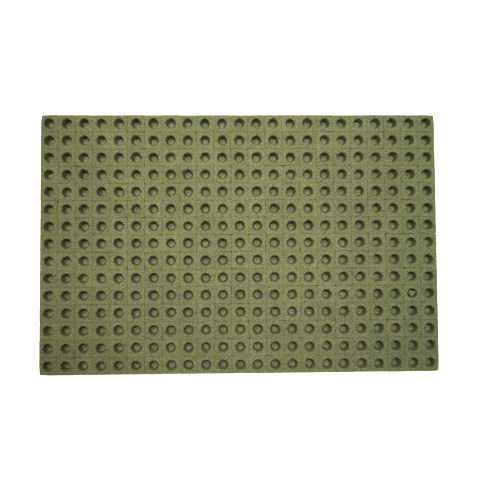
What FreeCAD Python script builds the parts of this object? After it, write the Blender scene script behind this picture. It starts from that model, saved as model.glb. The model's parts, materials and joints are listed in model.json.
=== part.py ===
"""Seedling propagation sheet of rigid phenolic foam, scored into square plugs with a seed hole in each.

Frame: millimetres, +Z up. The origin is the middle of the underside. X runs along the long side, across the
columns of plugs, and Y along the short side, across the rows.

Knives slit the sheet from the top both ways and leave a thin foot uncut round each plug. A grower breaks it
along the slits, first into strips one plug wide and then into single plugs. Here the two outer columns are
broken into single plugs, each a node of its own. Every column between them is a strip: one solid, whose plugs
still hang together by the foot.
"""
import FreeCAD
import Part
import os

# --- the grid of plugs ---
COLUMNS = 23
ROWS = 15
PITCH = 20.0            # centre to centre, both ways
THICKNESS = 20.0        # height of the sheet

# --- the scoring ---
SLIT = 0.3              # how far a knife's slit stands open
FOOT_HEIGHT = 2.0       # foam that the knives leave uncut, up from the underside
SNAP_GAP = 0.15         # hairline where the foot is broken between two nodes

# --- the seed hole ---
MOUTH_DIAMETER = 12.0   # at the top face
FLOOR_DIAMETER = 7.0    # at the bottom of the taper
HOLE_DEPTH = 10.0

# --- the columns that are broken into single plugs ---
SIDE_COLUMNS = {"left": 1, "right": COLUMNS}

OVERCUT = 1.0           # how far the hole's cutting solid runs past the top face


def block(width, depth, bottom, top):
    """A box centred on the Z axis, width along X and depth along Y."""
    corner = FreeCAD.Vector(-width / 2, -depth / 2, bottom)
    return Part.makeBox(width, depth, top - bottom, corner)


def stem():
    """The part of a plug that stands between four slits, from the top of the foot to the top face."""
    side = PITCH - SLIT
    return block(side, side, FOOT_HEIGHT, THICKNESS)


def seed_hole():
    """The tapered hole as a solid to cut with. Its cone runs on past the top face, so that the cut is clean."""
    taper = (MOUTH_DIAMETER - FLOOR_DIAMETER) / 2 / HOLE_DEPTH
    top_radius = MOUTH_DIAMETER / 2 + taper * OVERCUT
    floor = FreeCAD.Vector(0, 0, THICKNESS - HOLE_DEPTH)
    return Part.makeCone(FLOOR_DIAMETER / 2, top_radius, HOLE_DEPTH + OVERCUT, floor)


def row_offset(row):
    """How far a row, counted from the back, lies from the sheet's middle along Y."""
    return ((ROWS + 1) / 2 - row) * PITCH


def column_offset(column):
    """How far a column, counted from the left, lies from the sheet's middle along X."""
    return (column - (COLUMNS + 1) / 2) * PITCH


def moved(shape, x, y):
    """A copy of a shape, moved in the plane of the sheet."""
    copy = shape.copy()
    copy.translate(FreeCAD.Vector(x, y, 0))
    return copy


def plug():
    """One single plug, about the Z axis."""
    foot_side = PITCH - SNAP_GAP
    foot = block(foot_side, foot_side, 0, FOOT_HEIGHT)
    return foot.fuse(stem()).cut(seed_hole()).removeSplitter()


def strip():
    """One whole column of plugs on their common foot, as a single solid about the Z axis."""
    rows = range(1, ROWS + 1)
    foot = block(PITCH - SNAP_GAP, ROWS * PITCH - SNAP_GAP, 0, FOOT_HEIGHT)
    stems = [moved(stem(), 0, row_offset(row)) for row in rows]
    holes = [moved(seed_hole(), 0, row_offset(row)) for row in rows]
    return foot.multiFuse(stems).cut(holes).removeSplitter()


def export(name, shape):
    """Write one node's single solid to its STEP file."""
    solid = shape.Solids[0]
    if len(shape.Solids) != 1 or not solid.isValid():
        raise ValueError(f"{name} isn't one sound solid")
    solid.exportStep(f"parts/{name}.step")


def main():
    os.makedirs("parts", exist_ok=True)
    single_plug = plug()
    whole_strip = strip()
    for side, column in SIDE_COLUMNS.items():
        for row in range(1, ROWS + 1):
            placed = moved(single_plug, column_offset(column), row_offset(row))
            export(f"{side}_plug_{row:02d}", placed)
    for column in range(1, COLUMNS + 1):
        if column not in SIDE_COLUMNS.values():
            export(f"strip_{column:02d}", moved(whole_strip, column_offset(column), 0))


main()
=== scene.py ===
# %% [markdown]
# # A scored foam seedling sheet
#
# The object is a flat sheet of rigid, olive green growing foam. Knives have slit it from the top
# into square plugs, and a blunt cone has pressed a seed hole into each. The two outer columns are
# already broken into single plugs, and every other column is a strip of plugs on a thin common
# foot.
#
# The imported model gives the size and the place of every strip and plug. This script rebuilds each
# of them with the small faults that real foam has, and then gives them a finish. Nothing here
# moves a piece.

# %% Load the fixed frame
import json
import math
import random

import bmesh
import bpy
from mathutils import Matrix, Vector

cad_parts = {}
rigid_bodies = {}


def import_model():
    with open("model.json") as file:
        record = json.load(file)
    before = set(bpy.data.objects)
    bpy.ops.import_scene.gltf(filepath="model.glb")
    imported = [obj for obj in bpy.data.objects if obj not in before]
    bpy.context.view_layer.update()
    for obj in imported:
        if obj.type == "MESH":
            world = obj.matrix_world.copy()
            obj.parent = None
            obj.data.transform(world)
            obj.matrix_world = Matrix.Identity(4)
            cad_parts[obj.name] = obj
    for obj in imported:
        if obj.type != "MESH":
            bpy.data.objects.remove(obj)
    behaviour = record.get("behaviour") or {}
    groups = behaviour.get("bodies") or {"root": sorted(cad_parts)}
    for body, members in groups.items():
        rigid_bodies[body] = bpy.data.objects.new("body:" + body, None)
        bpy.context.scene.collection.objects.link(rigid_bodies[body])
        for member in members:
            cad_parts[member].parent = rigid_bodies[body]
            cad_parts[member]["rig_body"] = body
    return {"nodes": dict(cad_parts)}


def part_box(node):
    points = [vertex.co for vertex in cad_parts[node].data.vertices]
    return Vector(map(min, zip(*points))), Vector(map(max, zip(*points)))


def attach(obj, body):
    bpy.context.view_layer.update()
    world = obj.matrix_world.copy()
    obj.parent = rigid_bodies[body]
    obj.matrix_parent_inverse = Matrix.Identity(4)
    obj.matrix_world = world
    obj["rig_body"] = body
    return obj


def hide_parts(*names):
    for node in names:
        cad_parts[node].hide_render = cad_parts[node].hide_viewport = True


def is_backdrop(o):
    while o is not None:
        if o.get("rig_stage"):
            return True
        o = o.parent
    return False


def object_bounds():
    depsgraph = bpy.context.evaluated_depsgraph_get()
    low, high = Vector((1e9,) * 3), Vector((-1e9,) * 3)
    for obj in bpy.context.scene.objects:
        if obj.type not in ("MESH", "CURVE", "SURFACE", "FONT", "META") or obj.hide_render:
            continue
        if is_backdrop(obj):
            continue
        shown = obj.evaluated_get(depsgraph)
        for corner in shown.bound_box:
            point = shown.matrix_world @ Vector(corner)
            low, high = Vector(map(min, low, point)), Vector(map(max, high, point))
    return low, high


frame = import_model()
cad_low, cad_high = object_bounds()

MM = 0.001
print("sheet:", [round(side / MM, 2) for side in cad_high - cad_low], "mm")

# %% [markdown]
# ## The sizes that everything follows
#
# One plug's pitch repeats across the whole sheet, so it is read from the frame: it is the step from
# one strip to the next. The number of rows is then the length of a strip divided by that step. The
# seed hole can't be read from a box, so its sizes are written here, in millimetres.

# %% Sizes from the frame, and the sizes of the seed hole
node_names = sorted(frame["nodes"])
strip_names = [name for name in node_names if name.startswith("strip_")]


def middle_of(node):
    """The middle of a CAD node's box."""
    low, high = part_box(node)
    return (low + high) / 2


PITCH = middle_of(strip_names[1]).x - middle_of(strip_names[0]).x
strip_low, strip_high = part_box(strip_names[0])
ROWS = round((strip_high.y - strip_low.y) / PITCH)
TOP = cad_high.z
FOOT_TOP = 2.0 * MM          # the uncut foam under the slits
SNAP_GAP = PITCH - (strip_high.x - strip_low.x)
MOUTH_RADIUS = 6.0 * MM      # the seed hole at the top face
FLOOR_RADIUS = 3.5 * MM      # and at the end of its taper
HOLE_DEPTH = 10.0 * MM
print("pitch", round(PITCH / MM, 2), "mm,", ROWS, "rows,", len(strip_names), "strips")

# %% [markdown]
# ## The camera
#
# The sheet is seen from straight above by a camera that is a few centimetres off its middle and
# leans by two or three degrees. The lens is close to 50 mm. It stands under a metre away, so the
# far walls of the outer seed holes turn into view, and that is what makes the sheet look thick.

# %% Place the camera
CAMERA_PLACE = Vector((-20.4, -29.5, 748.4)) * MM
CAMERA_TURN = (math.radians(2.60), math.radians(-1.59), math.radians(-0.39))
LENS = 47.2                  # millimetres, as is the sensor
SENSOR_WIDTH = 36
NEAR_LIMIT = 10 * MM         # nothing closer to the camera than this is drawn

camera = bpy.data.objects.new("camera", bpy.data.cameras.new("camera"))
camera.data.lens = LENS
camera.data.sensor_width = SENSOR_WIDTH
camera.data.clip_start = NEAR_LIMIT
camera.location = CAMERA_PLACE
camera.rotation_euler = CAMERA_TURN
bpy.context.scene.collection.objects.link(camera)
bpy.context.scene.camera = camera
print("camera", round(CAMERA_PLACE.z / MM), "mm above the underside, lens", LENS, "mm")

# %% [markdown]
# ## Floor and light
#
# A seed hole reads as deep only if one side of it is in shade. Two spot lamps stand behind the
# sheet, far out to the left and right, so their light falls into each hole from one side. Each is
# soft-edged and aimed at its own half, so the left holes are lit from the left and the right holes
# from the right. Three more spots stand nearer to overhead, two over the right half and one over
# the middle, and soften that shade. The left lamp is a little warm and those on the right are a
# little cool.
#
# The floor is a white board that glows, so it stays white past the reach of the spots. The world
# looks just as white to the camera but gives hardly any light, because light from all round would
# wash the shade out of the holes. The Standard view keeps the colours of the foam as they are
# mixed, where AgX would soften them.

# %% Helpers for the stage
def add_mesh(name, bm, materials):
    """Turn a finished bmesh into an object at the origin."""
    mesh = bpy.data.meshes.new(name)
    bm.to_mesh(mesh)
    bm.free()
    for material in materials:
        mesh.materials.append(material)
    thing = bpy.data.objects.new(name, mesh)
    bpy.context.scene.collection.objects.link(thing)
    return thing


def add_lamp(name, place, aim, spread, power, colour):
    """A soft-edged spot lamp at a place, turned to face a point. Its cone is spread degrees wide."""
    lamp = bpy.data.lights.new(name, "SPOT")
    lamp.spot_size = math.radians(spread)
    lamp.spot_blend = 1.0
    lamp.shadow_soft_size = LAMP_SOFTNESS
    lamp.energy = power
    lamp.color = colour
    thing = bpy.data.objects.new(name, lamp)
    thing.location = place
    turn = (Vector(aim) - Vector(place)).to_track_quat("-Z", "Y")
    thing.rotation_euler = turn.to_euler()
    bpy.context.scene.collection.objects.link(thing)
    return thing


# %% Light the scene
LAMP_HEIGHT = 2.0            # metres, as are the places and aims
LAMP_SOFTNESS = 0.14
LAMPS = (                    # name, place, aim, width of the cone in degrees, watts, colour
    ("lamp_left", (-0.93, 0.72), (-0.13, 0.09), 24, 106.0, (1.10, 0.99, 0.86)),
    ("lamp_right", (0.93, 0.72), (0.13, 0.09), 24, 42.0, (0.96, 1.02, 1.01)),
    ("fill_far_right", (0.42, 0.68), (0.13, 0.10), 28, 39.0, (0.88, 1.06, 1.08)),
    ("fill_near_right", (0.42, 0.12), (0.13, 0.00), 26, 31.0, (0.82, 1.05, 1.12)),
    ("fill_middle", (0.0, 0.25), (-0.01, 0.03), 22, 60.0, (1.03, 0.97, 1.03)),
)

bpy.context.scene.view_settings.view_transform = "Standard"
for name, place, aim, spread, power, colour in LAMPS:
    add_lamp(name, (*place, LAMP_HEIGHT), (*aim, 0), spread, power, colour)
print("lamps:", [lamp[0] for lamp in LAMPS])

# %% Make a world that is white to the camera and dim to everything else
AMBIENT = 0.015              # how strong the world is to everything but the camera

world = bpy.data.worlds.new("studio")
world.use_nodes = True
backdrop = world.node_tree.nodes["Background"]
backdrop.inputs["Color"].default_value = (1, 1, 1, 1)
rays = world.node_tree.nodes.new("ShaderNodeLightPath")
strength = world.node_tree.nodes.new("ShaderNodeMapRange")
strength.inputs["To Min"].default_value = AMBIENT
world.node_tree.links.new(rays.outputs["Is Camera Ray"], strength.inputs["Value"])
world.node_tree.links.new(strength.outputs["Result"], backdrop.inputs["Strength"])
bpy.context.scene.world = world
print("the world lights the foam with a strength of", AMBIENT)

# %% Lay the floor
FLOOR_SIZE = 6.0             # metres, far past the edge of every view
FLOOR_GAP = 0.2 * MM         # the board lies this far under the sheet

board = bpy.data.materials.new("white_board")
board.use_nodes = True
board_shader = board.node_tree.nodes["Principled BSDF"]
board_shader.inputs["Base Color"].default_value = (0.9, 0.9, 0.9, 1)
board_shader.inputs["Roughness"].default_value = 0.9
board_shader.inputs["Emission Color"].default_value = (1, 1, 1, 1)
board_shader.inputs["Emission Strength"].default_value = 1.0

bm = bmesh.new()
bmesh.ops.create_grid(bm, x_segments=1, y_segments=1, size=FLOOR_SIZE / 2)
bmesh.ops.translate(bm, verts=bm.verts, vec=(0, 0, cad_low.z - FLOOR_GAP))
floor = add_mesh("floor", bm, [board])
floor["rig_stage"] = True
print("floor board", FLOOR_SIZE, "m wide")

# %% [markdown]
# ## The finish of the foam
#
# Growing foam is a mass of tiny open cells. Close to, it is a fine grain of light cell walls and
# dark cells, and a few burst cells leave pores, whose shade is painted in as dark dots. All of it is
# mixed from noise on Object coordinates, which are metres here, so a scale of 1000 means one
# millimetre.
#
# Two finishes share these effects: the cut faces, and the walls of the seed holes, where the cone
# has pressed the cells together. The walls' olive is darker, which paints in part of the shade of the
# holes. So each effect is a node group, made once and placed in both.

# %% Helpers for node groups
def new_group(name, inputs, outputs):
    """An empty shader group: a Vector and the numbers {label: value} go in, numbers come out."""
    group = bpy.data.node_groups.new(name, "ShaderNodeTree")
    group.interface.new_socket("Vector", in_out="INPUT", socket_type="NodeSocketVector")
    for label, value in inputs.items():
        socket = group.interface.new_socket(label, in_out="INPUT", socket_type="NodeSocketFloat")
        socket.default_value = value
    for label in outputs:
        group.interface.new_socket(label, in_out="OUTPUT", socket_type="NodeSocketFloat")
    return group, group.nodes.new("NodeGroupInput"), group.nodes.new("NodeGroupOutput")


def place_group(tree, name, vector, **values):
    """Put a group into a tree, feed it the coordinates and set its own values."""
    node = tree.nodes.new("ShaderNodeGroup")
    node.node_tree = bpy.data.node_groups[name]
    tree.links.new(vector, node.inputs["Vector"])
    for label, value in values.items():
        node.inputs[label.replace("_", " ")].default_value = value
    return node


def feed(tree, value, socket):
    """Give a socket a plain number, or link another node's output to it."""
    if isinstance(value, (int, float)):
        socket.default_value = value
    else:
        tree.links.new(value, socket)


def maths(tree, operation, first, second):
    """A Math node. Each of its two inputs is a number or another node's output."""
    node = tree.nodes.new("ShaderNodeMath")
    node.operation = operation
    feed(tree, first, node.inputs[0])
    feed(tree, second, node.inputs[1])
    return node.outputs[0]


def rescaled(tree, value, low, high, to_low, to_high):
    """A Map Range node that clamps."""
    node = tree.nodes.new("ShaderNodeMapRange")
    feed(tree, value, node.inputs["Value"])
    feed(tree, low, node.inputs["From Min"])
    feed(tree, high, node.inputs["From Max"])
    feed(tree, to_low, node.inputs["To Min"])
    feed(tree, to_high, node.inputs["To Max"])
    return node.outputs["Result"]


def noise(tree, vector, scale, detail, roughness=0.5):
    """A Noise Texture's factor, which swings round one half."""
    node = tree.nodes.new("ShaderNodeTexNoise")
    node.inputs["Scale"].default_value = scale
    node.inputs["Detail"].default_value = detail
    node.inputs["Roughness"].default_value = roughness
    tree.links.new(vector, node.inputs["Vector"])
    return node.outputs["Fac"]


# %% [markdown]
# ### Cells
#
# The grain has two sizes: grains of a little under a millimetre, and clumps of them of about two
# millimetres. The group puts out one factor round 1, which the base colour is multiplied by, and
# one height for the bump.

# %% Build the cell group
FINE_SCALE = 1100
CLUMP_SCALE = 480
FINE_SHARE = 0.75            # how much of the grain is fine; the clumps are the rest
GRAIN_SWING = 6.0            # how far a contrast of 1 moves the shade

group, given, made = new_group("foam_cells", {"Contrast": 0.3}, ["Shade", "Height"])
fine = noise(group, given.outputs["Vector"], FINE_SCALE, detail=2)
clump = noise(group, given.outputs["Vector"], CLUMP_SCALE, detail=3, roughness=0.6)
fine_part = maths(group, "MULTIPLY", fine, FINE_SHARE)
clump_part = maths(group, "MULTIPLY", clump, 1 - FINE_SHARE)
grain = maths(group, "ADD", fine_part, clump_part)
centred = maths(group, "SUBTRACT", grain, 0.5)
contrasted = maths(group, "MULTIPLY", centred, given.outputs["Contrast"])
swing = maths(group, "MULTIPLY", contrasted, GRAIN_SWING)
group.links.new(maths(group, "ADD", swing, 1.0), made.inputs["Shade"])
group.links.new(grain, made.inputs["Height"])
print("group", group.name, "with", len(group.nodes), "nodes")

# %% [markdown]
# ### Burst cells
#
# A Voronoi texture puts one point in each cell of its grid. The distance to that point gives a dot,
# and only the points that a random value picks become pores, so they are scattered and not evenly
# spaced. A second random value sets each pore's size.

# %% Build the pore group
SMALLEST_PORE = 0.4          # a pore is as wide as the radius times this plus a random 0 to 1
PORE_CORE = 0.4              # the share of a pore that is fully dark

group, given, made = new_group(
    "burst_cells", {"Spacing": 350.0, "Share": 0.2, "Radius": 0.25}, ["Mask"])
points = group.nodes.new("ShaderNodeTexVoronoi")
group.links.new(given.outputs["Vector"], points.inputs["Vector"])
group.links.new(given.outputs["Spacing"], points.inputs["Scale"])
lots = group.nodes.new("ShaderNodeSeparateColor")
group.links.new(points.outputs["Color"], lots.inputs["Color"])
picked = maths(group, "LESS_THAN", lots.outputs["Red"], given.outputs["Share"])
growth = maths(group, "ADD", lots.outputs["Green"], SMALLEST_PORE)
pore_reach = maths(group, "MULTIPLY", given.outputs["Radius"], growth)
core = maths(group, "MULTIPLY", pore_reach, PORE_CORE)
dot = rescaled(group, points.outputs["Distance"], core, pore_reach, 1.0, 0.0)
group.links.new(maths(group, "MULTIPLY", dot, picked), made.inputs["Mask"])
print("group", group.name, "with", len(group.nodes), "nodes")

# %% [markdown]
# ### Tone
#
# Each plug takes its own slight tone, because the knife drags the cells of each a little
# differently, and the whole sheet has soft clouds where the foam set faster. The plug's own number
# comes from its column and row: the coordinates are moved by half a pitch and rounded down to whole
# pitches, and White Noise turns the result into a random value.

# %% Build the tone group
CLOUD_SCALE = 28             # clouds of about 36 mm

group, given, made = new_group("foam_tone", {"Per Plug": 0.1, "Clouds": 0.15}, ["Shade"])
snap = group.nodes.new("ShaderNodeVectorMath")
snap.operation = "SNAP"
snap.inputs[1].default_value = (PITCH, PITCH, 1.0)
shift = group.nodes.new("ShaderNodeVectorMath")
shift.operation = "ADD"
shift.inputs[1].default_value = (PITCH / 2, PITCH / 2, 0.5)
group.links.new(given.outputs["Vector"], shift.inputs[0])
group.links.new(shift.outputs["Vector"], snap.inputs[0])
plug_value = group.nodes.new("ShaderNodeTexWhiteNoise")
group.links.new(snap.outputs["Vector"], plug_value.inputs["Vector"])
plug_swing = maths(group, "SUBTRACT", plug_value.outputs["Value"], 0.5)
plug_part = maths(group, "MULTIPLY", plug_swing, given.outputs["Per Plug"])
cloud = noise(group, given.outputs["Vector"], CLOUD_SCALE, detail=3)
cloud_swing = maths(group, "SUBTRACT", cloud, 0.5)
cloud_part = maths(group, "MULTIPLY", cloud_swing, given.outputs["Clouds"])
total = maths(group, "ADD", maths(group, "ADD", plug_part, cloud_part), 1.0)
group.links.new(total, made.inputs["Shade"])
print("group", group.name, "with", len(group.nodes), "nodes")

# %% [markdown]
# ### The finishes themselves
#
# Each finish multiplies its own olive by the shades of the groups. Foam is fully matte, so the
# roughness is high and the specular level is low, and both are plain values on the shader.

# %% Mix a foam finish
PLUG_TONE = 0.10             # how far the tone differs from plug to plug
CLOUD_TONE = 0.25            # and how strong the clouds are
PORE_SPACING = 300.0         # the scale of the pores' grid, about 3 mm
PORE_RADIUS = 0.2            # as a share of that grid's step
BUMP_HEIGHT = 0.4 * MM
FOAM_ROUGHNESS = 0.95
FOAM_SPECULAR = 0.15


def foam_finish(name, colour, contrast, pores, painted_pore_shade, bump):
    """A matte foam: its olive, how strong its grain is, its share of pores, the painted shade in
    them, its bump.
    """
    material = bpy.data.materials.new(name)
    material.use_nodes = True
    tree = material.node_tree
    shader = tree.nodes["Principled BSDF"]
    coordinates = tree.nodes.new("ShaderNodeTexCoord").outputs["Object"]
    cells = place_group(tree, "foam_cells", coordinates, Contrast=contrast)
    tone = place_group(tree, "foam_tone", coordinates, Per_Plug=PLUG_TONE, Clouds=CLOUD_TONE)
    pore = place_group(
        tree, "burst_cells", coordinates, Spacing=PORE_SPACING, Share=pores, Radius=PORE_RADIUS)
    # the pores' dark is painted shade: the base colour is darkened where the burst cells are
    painted_pore_darkening = rescaled(tree, pore.outputs["Mask"], 0.0, 1.0, 1.0, painted_pore_shade)
    grain_and_tone = maths(tree, "MULTIPLY", cells.outputs["Shade"], tone.outputs["Shade"])
    shade = maths(tree, "MULTIPLY", grain_and_tone, painted_pore_darkening)
    mix = tree.nodes.new("ShaderNodeVectorMath")
    mix.operation = "SCALE"
    mix.inputs[0].default_value = colour
    tree.links.new(shade, mix.inputs["Scale"])
    tree.links.new(mix.outputs["Vector"], shader.inputs["Base Color"])
    shader.inputs["Roughness"].default_value = FOAM_ROUGHNESS
    shader.inputs["Specular IOR Level"].default_value = FOAM_SPECULAR
    bumps = tree.nodes.new("ShaderNodeBump")
    bumps.inputs["Strength"].default_value = bump
    bumps.inputs["Distance"].default_value = BUMP_HEIGHT
    height = maths(tree, "SUBTRACT", cells.outputs["Height"], pore.outputs["Mask"])
    tree.links.new(height, bumps.inputs["Height"])
    tree.links.new(bumps.outputs["Normal"], shader.inputs["Normal"])
    return material


# %% Mix the cut foam and the darker wall foam, whose colour paints shade into the holes
cut_foam = foam_finish(
    "cut_foam", (0.194, 0.198, 0.088), contrast=0.88, pores=0.10, painted_pore_shade=0.25, bump=0.5)
# the darker olive of the hole walls is painted shade: it stands in for part of the shade in the holes
hole_wall_painted_shade = foam_finish(
    "hole_wall_painted_shade", (0.138, 0.148, 0.066), contrast=0.45, pores=0.05, painted_pore_shade=0.5, bump=0.35)
print("finishes:", cut_foam.name, "and", hole_wall_painted_shade.name)

# %% [markdown]
# ## One strip of plugs
#
# Each strip grows from a flat grid with one face for each plug, mostly by insets:
#
# 1. a narrow inset of each face leaves the slit round it;
# 2. an inset with depth raises the face as a square stem, and a bevel wears its upright corners;
# 3. the stem's rim is crumbled, and a small inset inside it rises to the top face;
# 4. the next rings are pulled on to circles and go down into the foam as the seed hole;
# 5. the outline is trimmed, drawn down to the underside and closed with one face.
#
# A knife that wanders and a hole that is a little off its place are what tell real foam from a
# drawing. So each ring of corners is moved by a seeded random amount before the next one is made.
# Foam only ever loses crumbs, so an edge moves inwards and never out of the plug's own square.

# %% The size of the edges
SLIT = 0.03 * MM             # foam springs back, so a knife leaves hardly any gap
EDGE = 0.28 * MM             # the width of the crumbled edge
EDGE_DROP = 0.17 * MM        # and how far it lies under the top face
CORNER_WEAR = 0.45 * MM      # how far each upright corner of a plug is worn back

chance = random.Random(345)
print("slit", round(SLIT / MM, 2), "mm, crumbled edge", round(EDGE / MM, 2), "mm")

# %% Raise the stems from a flat grid
TOP_FACES = 0.9              # a face whose normal points up by more than this is a top or a ledge


def raise_stems(bm, low, high, plugs):
    """One grid face for each plug, raised as a stem with worn upright edges. Returns the tops."""
    bmesh.ops.create_grid(bm, x_segments=1, y_segments=plugs, size=0.5)
    box_middle = (low + high) / 2
    bmesh.ops.scale(bm, verts=bm.verts, vec=Vector((PITCH, PITCH * plugs, 1)))
    bmesh.ops.translate(bm, verts=bm.verts, vec=(box_middle.x, box_middle.y, FOOT_TOP))
    stems = bm.faces[:]
    bmesh.ops.inset_individual(bm, faces=stems, thickness=SLIT / 2, use_even_offset=True)
    bmesh.ops.inset_individual(bm, faces=stems, thickness=0, depth=TOP - EDGE_DROP - FOOT_TOP)
    upright = [
        edge for edge in bm.edges
        if abs(edge.verts[0].co.z - edge.verts[1].co.z) > CORNER_WEAR]
    bmesh.ops.bevel(
        bm, geom=upright, offset=CORNER_WEAR, offset_type="OFFSET", segments=1, profile=0.5,
        affect="EDGES", material=-1)
    bm.normal_update()
    return [
        face for face in bm.faces
        if face.normal.z > TOP_FACES and face.calc_center_median().z > FOOT_TOP + CORNER_WEAR]


# %% Crumble the rim of a stem
CORNER_CHIPS = 0.05          # the share of a plug's corners that have lost a crumb
CORNER_BAND = 1 * MM         # the plug's own corners are this close to the rim's farthest one
RIM_LOSS = 0.06              # millimetres that the knife tears off the rim
CHIP_LOSS = (0.3, 0.7)       # millimetres that a chipped corner loses on top of that
RIM_DROP = 0.1               # millimetres that the rim sags at most


def crumble(face, plug_middle):
    """Move a rim's corners inwards, each by its own amount. Now and then a corner is chipped."""
    farthest = max((vert.co - plug_middle).to_2d().length for vert in face.verts)
    for vert in face.verts:
        inwards = (plug_middle - vert.co).to_2d()
        is_corner = inwards.length > farthest - CORNER_BAND
        loss = abs(chance.gauss(0, RIM_LOSS)) * MM
        if is_corner and chance.random() < CORNER_CHIPS:
            loss += chance.uniform(*CHIP_LOSS) * MM
        vert.co += (inwards.normalized() * loss).to_3d()
        vert.co.z -= chance.uniform(0, RIM_DROP) * MM


# %% Pull a ring of corners on to a circle
def ring_to_circle(face, centre, radius, height, wobble, notch):
    """Space a face's corners round centre. The one nearest to a notch = (angle, reach) stands out."""
    step = 2 * math.pi / len(face.verts)
    start = step * 0.75      # no corner lies in this direction, so the count can begin here

    def turn(vert):
        away = vert.co - centre
        return (math.atan2(away.y, away.x) - start) % (2 * math.pi)

    for rank, vert in enumerate(sorted(face.verts, key=turn)):
        angle = (rank + 1) * step
        reach = radius + chance.uniform(-wobble, wobble)
        if abs(math.remainder(angle - notch[0], 2 * math.pi)) < step / 2:
            reach += notch[1]
        x = centre.x + reach * math.cos(angle)
        y = centre.y + reach * math.sin(angle)
        vert.co = Vector((x, y, height))


# %% [markdown]
# ### The seed hole
#
# The tool is a blunt cone. It drags the surface down a little as it goes in, so the mouth has a
# narrow, soft lip, and under that the wall is steep. On about a quarter of the holes a crumb has
# broken out of the lip.

# %% Press one seed hole into the top of a stem
HOLE_RINGS = (               # how deep, how wide from the hole's axis, and how far out of true
    (0.0 * MM, MOUTH_RADIUS + 0.7 * MM, 0.12 * MM),
    (0.2 * MM, MOUTH_RADIUS + 0.25 * MM, 0.12 * MM),
    (1.2 * MM, MOUTH_RADIUS - 0.4 * MM, 0.12 * MM),
    (0.7 * HOLE_DEPTH, FLOOR_RADIUS + 0.75 * MM, 0.14 * MM),
    (HOLE_DEPTH, FLOOR_RADIUS, 0.12 * MM),
)
RING_INSET = 0.2 * MM        # any small step will do, because each ring is then pulled to its circle
LIP_DEPTH = 1.2 * MM         # the cone only brushes the lip to here, and a crumb breaks out as deep
LIP_CHIPS = 0.25             # the share of holes with a broken lip
LIP_CHIP_REACH = (0.5, 1.2)  # millimetres that such a crumb reaches outwards
HOLE_WANDER = 0.15           # millimetres that a hole is off its place
WIDTH_SPREAD = 0.02          # how much holes differ in width, as a share
DEPTH_SPREAD = 0.04          # and in depth
PIT_ROOM = 1 * MM            # a face with a shorter side than this is too narrow for a pit


def press_hole(bm, top, plug_middle):
    """Sink a hole into a plug's top. Returns the faces round its mouth, its wall and its floor."""
    offset = Vector((chance.gauss(0, HOLE_WANDER), chance.gauss(0, HOLE_WANDER), 0))
    centre = plug_middle + offset * MM
    wider = chance.gauss(1, WIDTH_SPREAD)
    deeper = chance.gauss(1, DEPTH_SPREAD)
    chip = chance.uniform(*LIP_CHIP_REACH) * MM if chance.random() < LIP_CHIPS else 0.0
    notch_angle = chance.uniform(-math.pi, math.pi)
    around, wall = [], []
    for drop, radius, wobble in HOLE_RINGS:
        ring = bmesh.ops.inset_individual(bm, faces=[top], thickness=RING_INSET)["faces"]
        notch = (notch_angle, chip if drop <= LIP_DEPTH else 0.0)
        ring_to_circle(top, centre, radius * wider, TOP - drop * deeper, wobble, notch)
        if drop == 0:
            around = [
                face for face in ring
                if min(edge.calc_length() for edge in face.edges) > PIT_ROOM]
            for edge in top.edges:
                edge.smooth = False
        elif drop > LIP_DEPTH:
            wall += ring
    return around, wall, top


# %% [markdown]
# ### Pits
#
# Where several cells have burst together, the cut face has a dark pit, one to two millimetres wide.
# A pit is an inset in one of the faces round the mouth: its inner face shrinks to the pit's size
# and then goes down.

# %% Sink a pit into a face of the top
PIT_SHARE = 0.4              # pits for each plug
PIT_WIDTH = (1.1, 1.9)       # millimetres
PIT_DEPTH = 3.0 * MM
PIT_INSET = 0.3 * MM         # a small step, because the face inside it is then shrunk
PIT_TAPER = 0.12             # how far each side leans in on the way down, as a share of the width


def sink_pit(bm, face):
    """A small hole with a narrower floor, somewhere near the middle of a face."""
    width = chance.uniform(*PIT_WIDTH) * MM
    bmesh.ops.inset_individual(bm, faces=[face], thickness=PIT_INSET)
    pit_middle = face.calc_center_median()
    reach = sum((vert.co - pit_middle).length for vert in face.verts) / len(face.verts)
    shrink = width / 2 / reach
    about = Matrix.Translation(-pit_middle)
    bmesh.ops.scale(bm, verts=face.verts, vec=(shrink, shrink, 1), space=about)
    bmesh.ops.inset_individual(bm, faces=[face], thickness=width * PIT_TAPER, depth=-PIT_DEPTH)


# %% Work the tops of a piece's stems
def work_tops(bm, tops):
    """Crumble every rim, press every hole and sink the pits. Returns the walls and the floors."""
    centres = [face.calc_center_median() for face in tops]
    sides = [edge for face in tops for edge in face.edges if edge.calc_length() > PITCH / 2]
    bmesh.ops.bisect_edges(bm, edges=sides, cuts=1)
    for face, centre in zip(tops, centres):
        crumble(face, centre)
    bmesh.ops.inset_individual(bm, faces=tops, thickness=EDGE, use_even_offset=True)
    walls, floors = [], []
    for face, centre in zip(tops, centres):
        for vert in face.verts:
            vert.co.z = TOP
        around, wall, hole_floor = press_hole(bm, face, centre)
        walls += wall
        floors.append(hole_floor)
        if chance.random() < PIT_SHARE:
            sink_pit(bm, chance.choice(around))
    return walls, floors


# %% [markdown]
# ### The foot and the sheet's own sides
#
# The feet of two neighbours are already broken apart, so each piece's outline reaches almost to the
# next one's. The break is at a slant: with a straight one, light from the floor would come up
# through the slit. On the sheet's own sides a knife has trimmed each piece a little differently,
# and the wall of a plug stands just behind its foot there, so that no two faces share a plane. The
# four corners of the sheet are worn, because they are what it is knocked on.

# %% Trim the outline and close the underside
FOOT_REACH = SNAP_GAP / 2 - 0.01 * MM   # the broken feet almost close
FOOT_SLANT = 0.08 * MM       # how far the break leans, from the foot's top to the underside
SET_BACK = 0.02 * MM         # how far a plug's wall stands behind its foot on the sheet's sides
SIDE_LOSS = 0.12 * MM        # how far the trimming knife wanders from piece to piece


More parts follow.
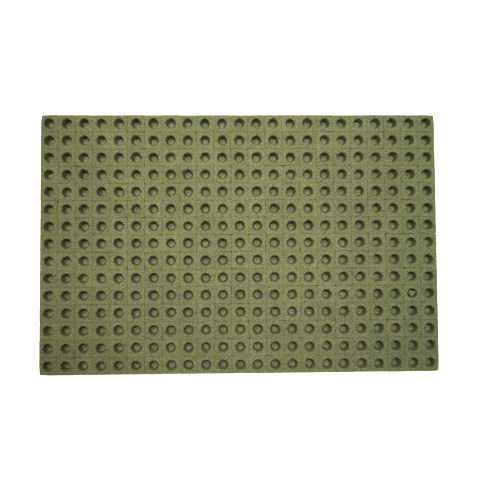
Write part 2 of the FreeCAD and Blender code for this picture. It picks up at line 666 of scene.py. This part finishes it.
def trim_piece(bm, low, high, outline):
    """Let the foot reach just past the piece's own box, and keep everything within the sheet."""
    foot_rim = {vert for edge in outline for vert in edge.verts}
    for vert in foot_rim:
        for axis in (0, 1):
            least = low[axis] - FOOT_REACH
            most = high[axis] + FOOT_REACH
            vert.co[axis] = min(max(vert.co[axis], least), most)
    loss = [abs(chance.gauss(0, SIDE_LOSS)) for side in range(4)]
    for vert in bm.verts:
        back = 0 if vert in foot_rim else SET_BACK
        for axis in (0, 1):
            least = cad_low[axis] + loss[axis] + back
            most = cad_high[axis] - loss[axis + 2] - back
            vert.co[axis] = min(max(vert.co[axis], least), most)


def close_underside(bm, low, outline):
    """Draw the outline down to the underside at a slant, and close it with one face."""
    skirt = bmesh.ops.extrude_edge_only(bm, edges=outline)["geom"]
    lowest = [part for part in skirt if isinstance(part, bmesh.types.BMVert)]
    bmesh.ops.translate(bm, verts=lowest, vec=(FOOT_SLANT, FOOT_SLANT, low.z - FOOT_TOP))
    for vert in lowest:
        vert.co.x = min(vert.co.x, cad_high.x)
        vert.co.y = min(vert.co.y, cad_high.y)
    bmesh.ops.contextual_create(bm, geom=[edge for edge in bm.edges if edge.is_boundary])


# %% Round a corner of the sheet
CORNER_REACH = 1.5 * MM      # what stands this close to a corner of the sheet is worn
CORNER_LOSS = 1.0 * MM       # how much it has lost, along the diagonal


def wear_sheet_corners(bm):
    """Pull in whatever stands in the sheet's own four corners, from the top to the underside."""
    for x in (cad_low.x, cad_high.x):
        for y in (cad_low.y, cad_high.y):
            corner = Vector((x, y))
            for vert in bm.verts:
                if (vert.co.to_2d() - corner).length < CORNER_REACH:
                    vert.co -= (corner.normalized() * CORNER_LOSS).to_3d()


# %% Grow one piece of foam
def grow_foam(name, low, high, plugs):
    """One piece of foam with its plugs in a row along Y, which fills the box from low to high."""
    bm = bmesh.new()
    tops = raise_stems(bm, low, high, plugs)
    walls, floors = work_tops(bm, tops)
    outline = [edge for edge in bm.edges if edge.is_boundary]
    trim_piece(bm, low, high, outline)
    close_underside(bm, low, outline)
    wear_sheet_corners(bm)
    # the hole walls take the darker finish, whose colour paints in part of the shade of the holes
    for face in walls:
        face.material_index = 1
    for face in walls + floors:
        face.smooth = True
    bmesh.ops.recalc_face_normals(bm, faces=bm.faces)
    return add_mesh(name, bm, [cut_foam, hole_wall_painted_shade])


# %% Build every strip and every single plug
for node in node_names:
    low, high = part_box(node)
    plugs = round((high.y - low.y) / PITCH)
    piece = grow_foam(f"foam_{node}", low, high, plugs)
    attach(piece, frame["nodes"][node]["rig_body"])
    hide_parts(node)
print("foam pieces:", len(node_names))

# %% [markdown]
# ## A torn flake
#
# One hole near the right edge has a torn flake of foam in it: a thin scrap with two points, which
# leans in the mouth. It is one outline, extruded to its thickness, and it stays with the strip that
# it lies in. Its left side hangs down into the hole and its two points lean on the rim.

# %% Tear a flake and drop it in its hole
FLAKE_STRIP = "strip_22"
FLAKE_ROW = 11               # counted from the back
FLAKE_OUTLINE = (            # millimetres from the hole's axis, and how far up or down a corner leans
    (-3.2, 2.0, -2.2), (-1.6, 3.8, -1.5), (1.8, 3.4, -0.5), (5.0, 1.2, 0.4), (3.0, -0.1, 0.0),
    (2.2, -2.2, 0.0), (0.9, -5.0, 0.4), (-1.0, -2.8, -1.2), (-2.8, -0.6, -2.2))
FLAKE_THICKNESS = 0.5 * MM
FLAKE_TAPER = 0.86           # its upper face is this much smaller, which gives it torn edges
FLAKE_UNEVEN = 0.15          # millimetres that its faces are out of true
FLAKE_DROP = 1.6 * MM        # from the top of the sheet to the flake

strip_middle = middle_of(FLAKE_STRIP)
rows_back = (ROWS + 1) / 2 - FLAKE_ROW
flake_place = Vector((strip_middle.x, strip_middle.y + rows_back * PITCH, TOP))
bm = bmesh.new()
corners = [bm.verts.new((x * MM, y * MM, lean * MM)) for x, y, lean in FLAKE_OUTLINE]
outline_face = bm.faces.new(corners)
upper = bmesh.ops.extrude_face_region(bm, geom=[outline_face])["geom"]
upper = [part for part in upper if isinstance(part, bmesh.types.BMVert)]
bmesh.ops.translate(bm, verts=upper, vec=(0, 0, FLAKE_THICKNESS))
bmesh.ops.scale(bm, verts=upper, vec=(FLAKE_TAPER, FLAKE_TAPER, 1))
for vert in bm.verts:
    vert.co.z += chance.uniform(-FLAKE_UNEVEN, FLAKE_UNEVEN) * MM
bmesh.ops.translate(bm, verts=bm.verts, vec=flake_place - Vector((0, 0, FLAKE_DROP)))
bmesh.ops.triangulate(bm, faces=[face for face in bm.faces if len(face.verts) > 4])
bmesh.ops.recalc_face_normals(bm, faces=bm.faces)
flake = add_mesh("torn_flake", bm, [cut_foam])
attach(flake, frame["nodes"][FLAKE_STRIP]["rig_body"])
print("flake at", [round(side / MM, 1) for side in flake_place], "mm")

# %% [markdown]
# ## The box of the rebuilt foam
#
# The rebuilt foam should fill the same box as the imported model. Its box is measured here.

# %% Measure the box of the rebuilt foam
low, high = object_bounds()
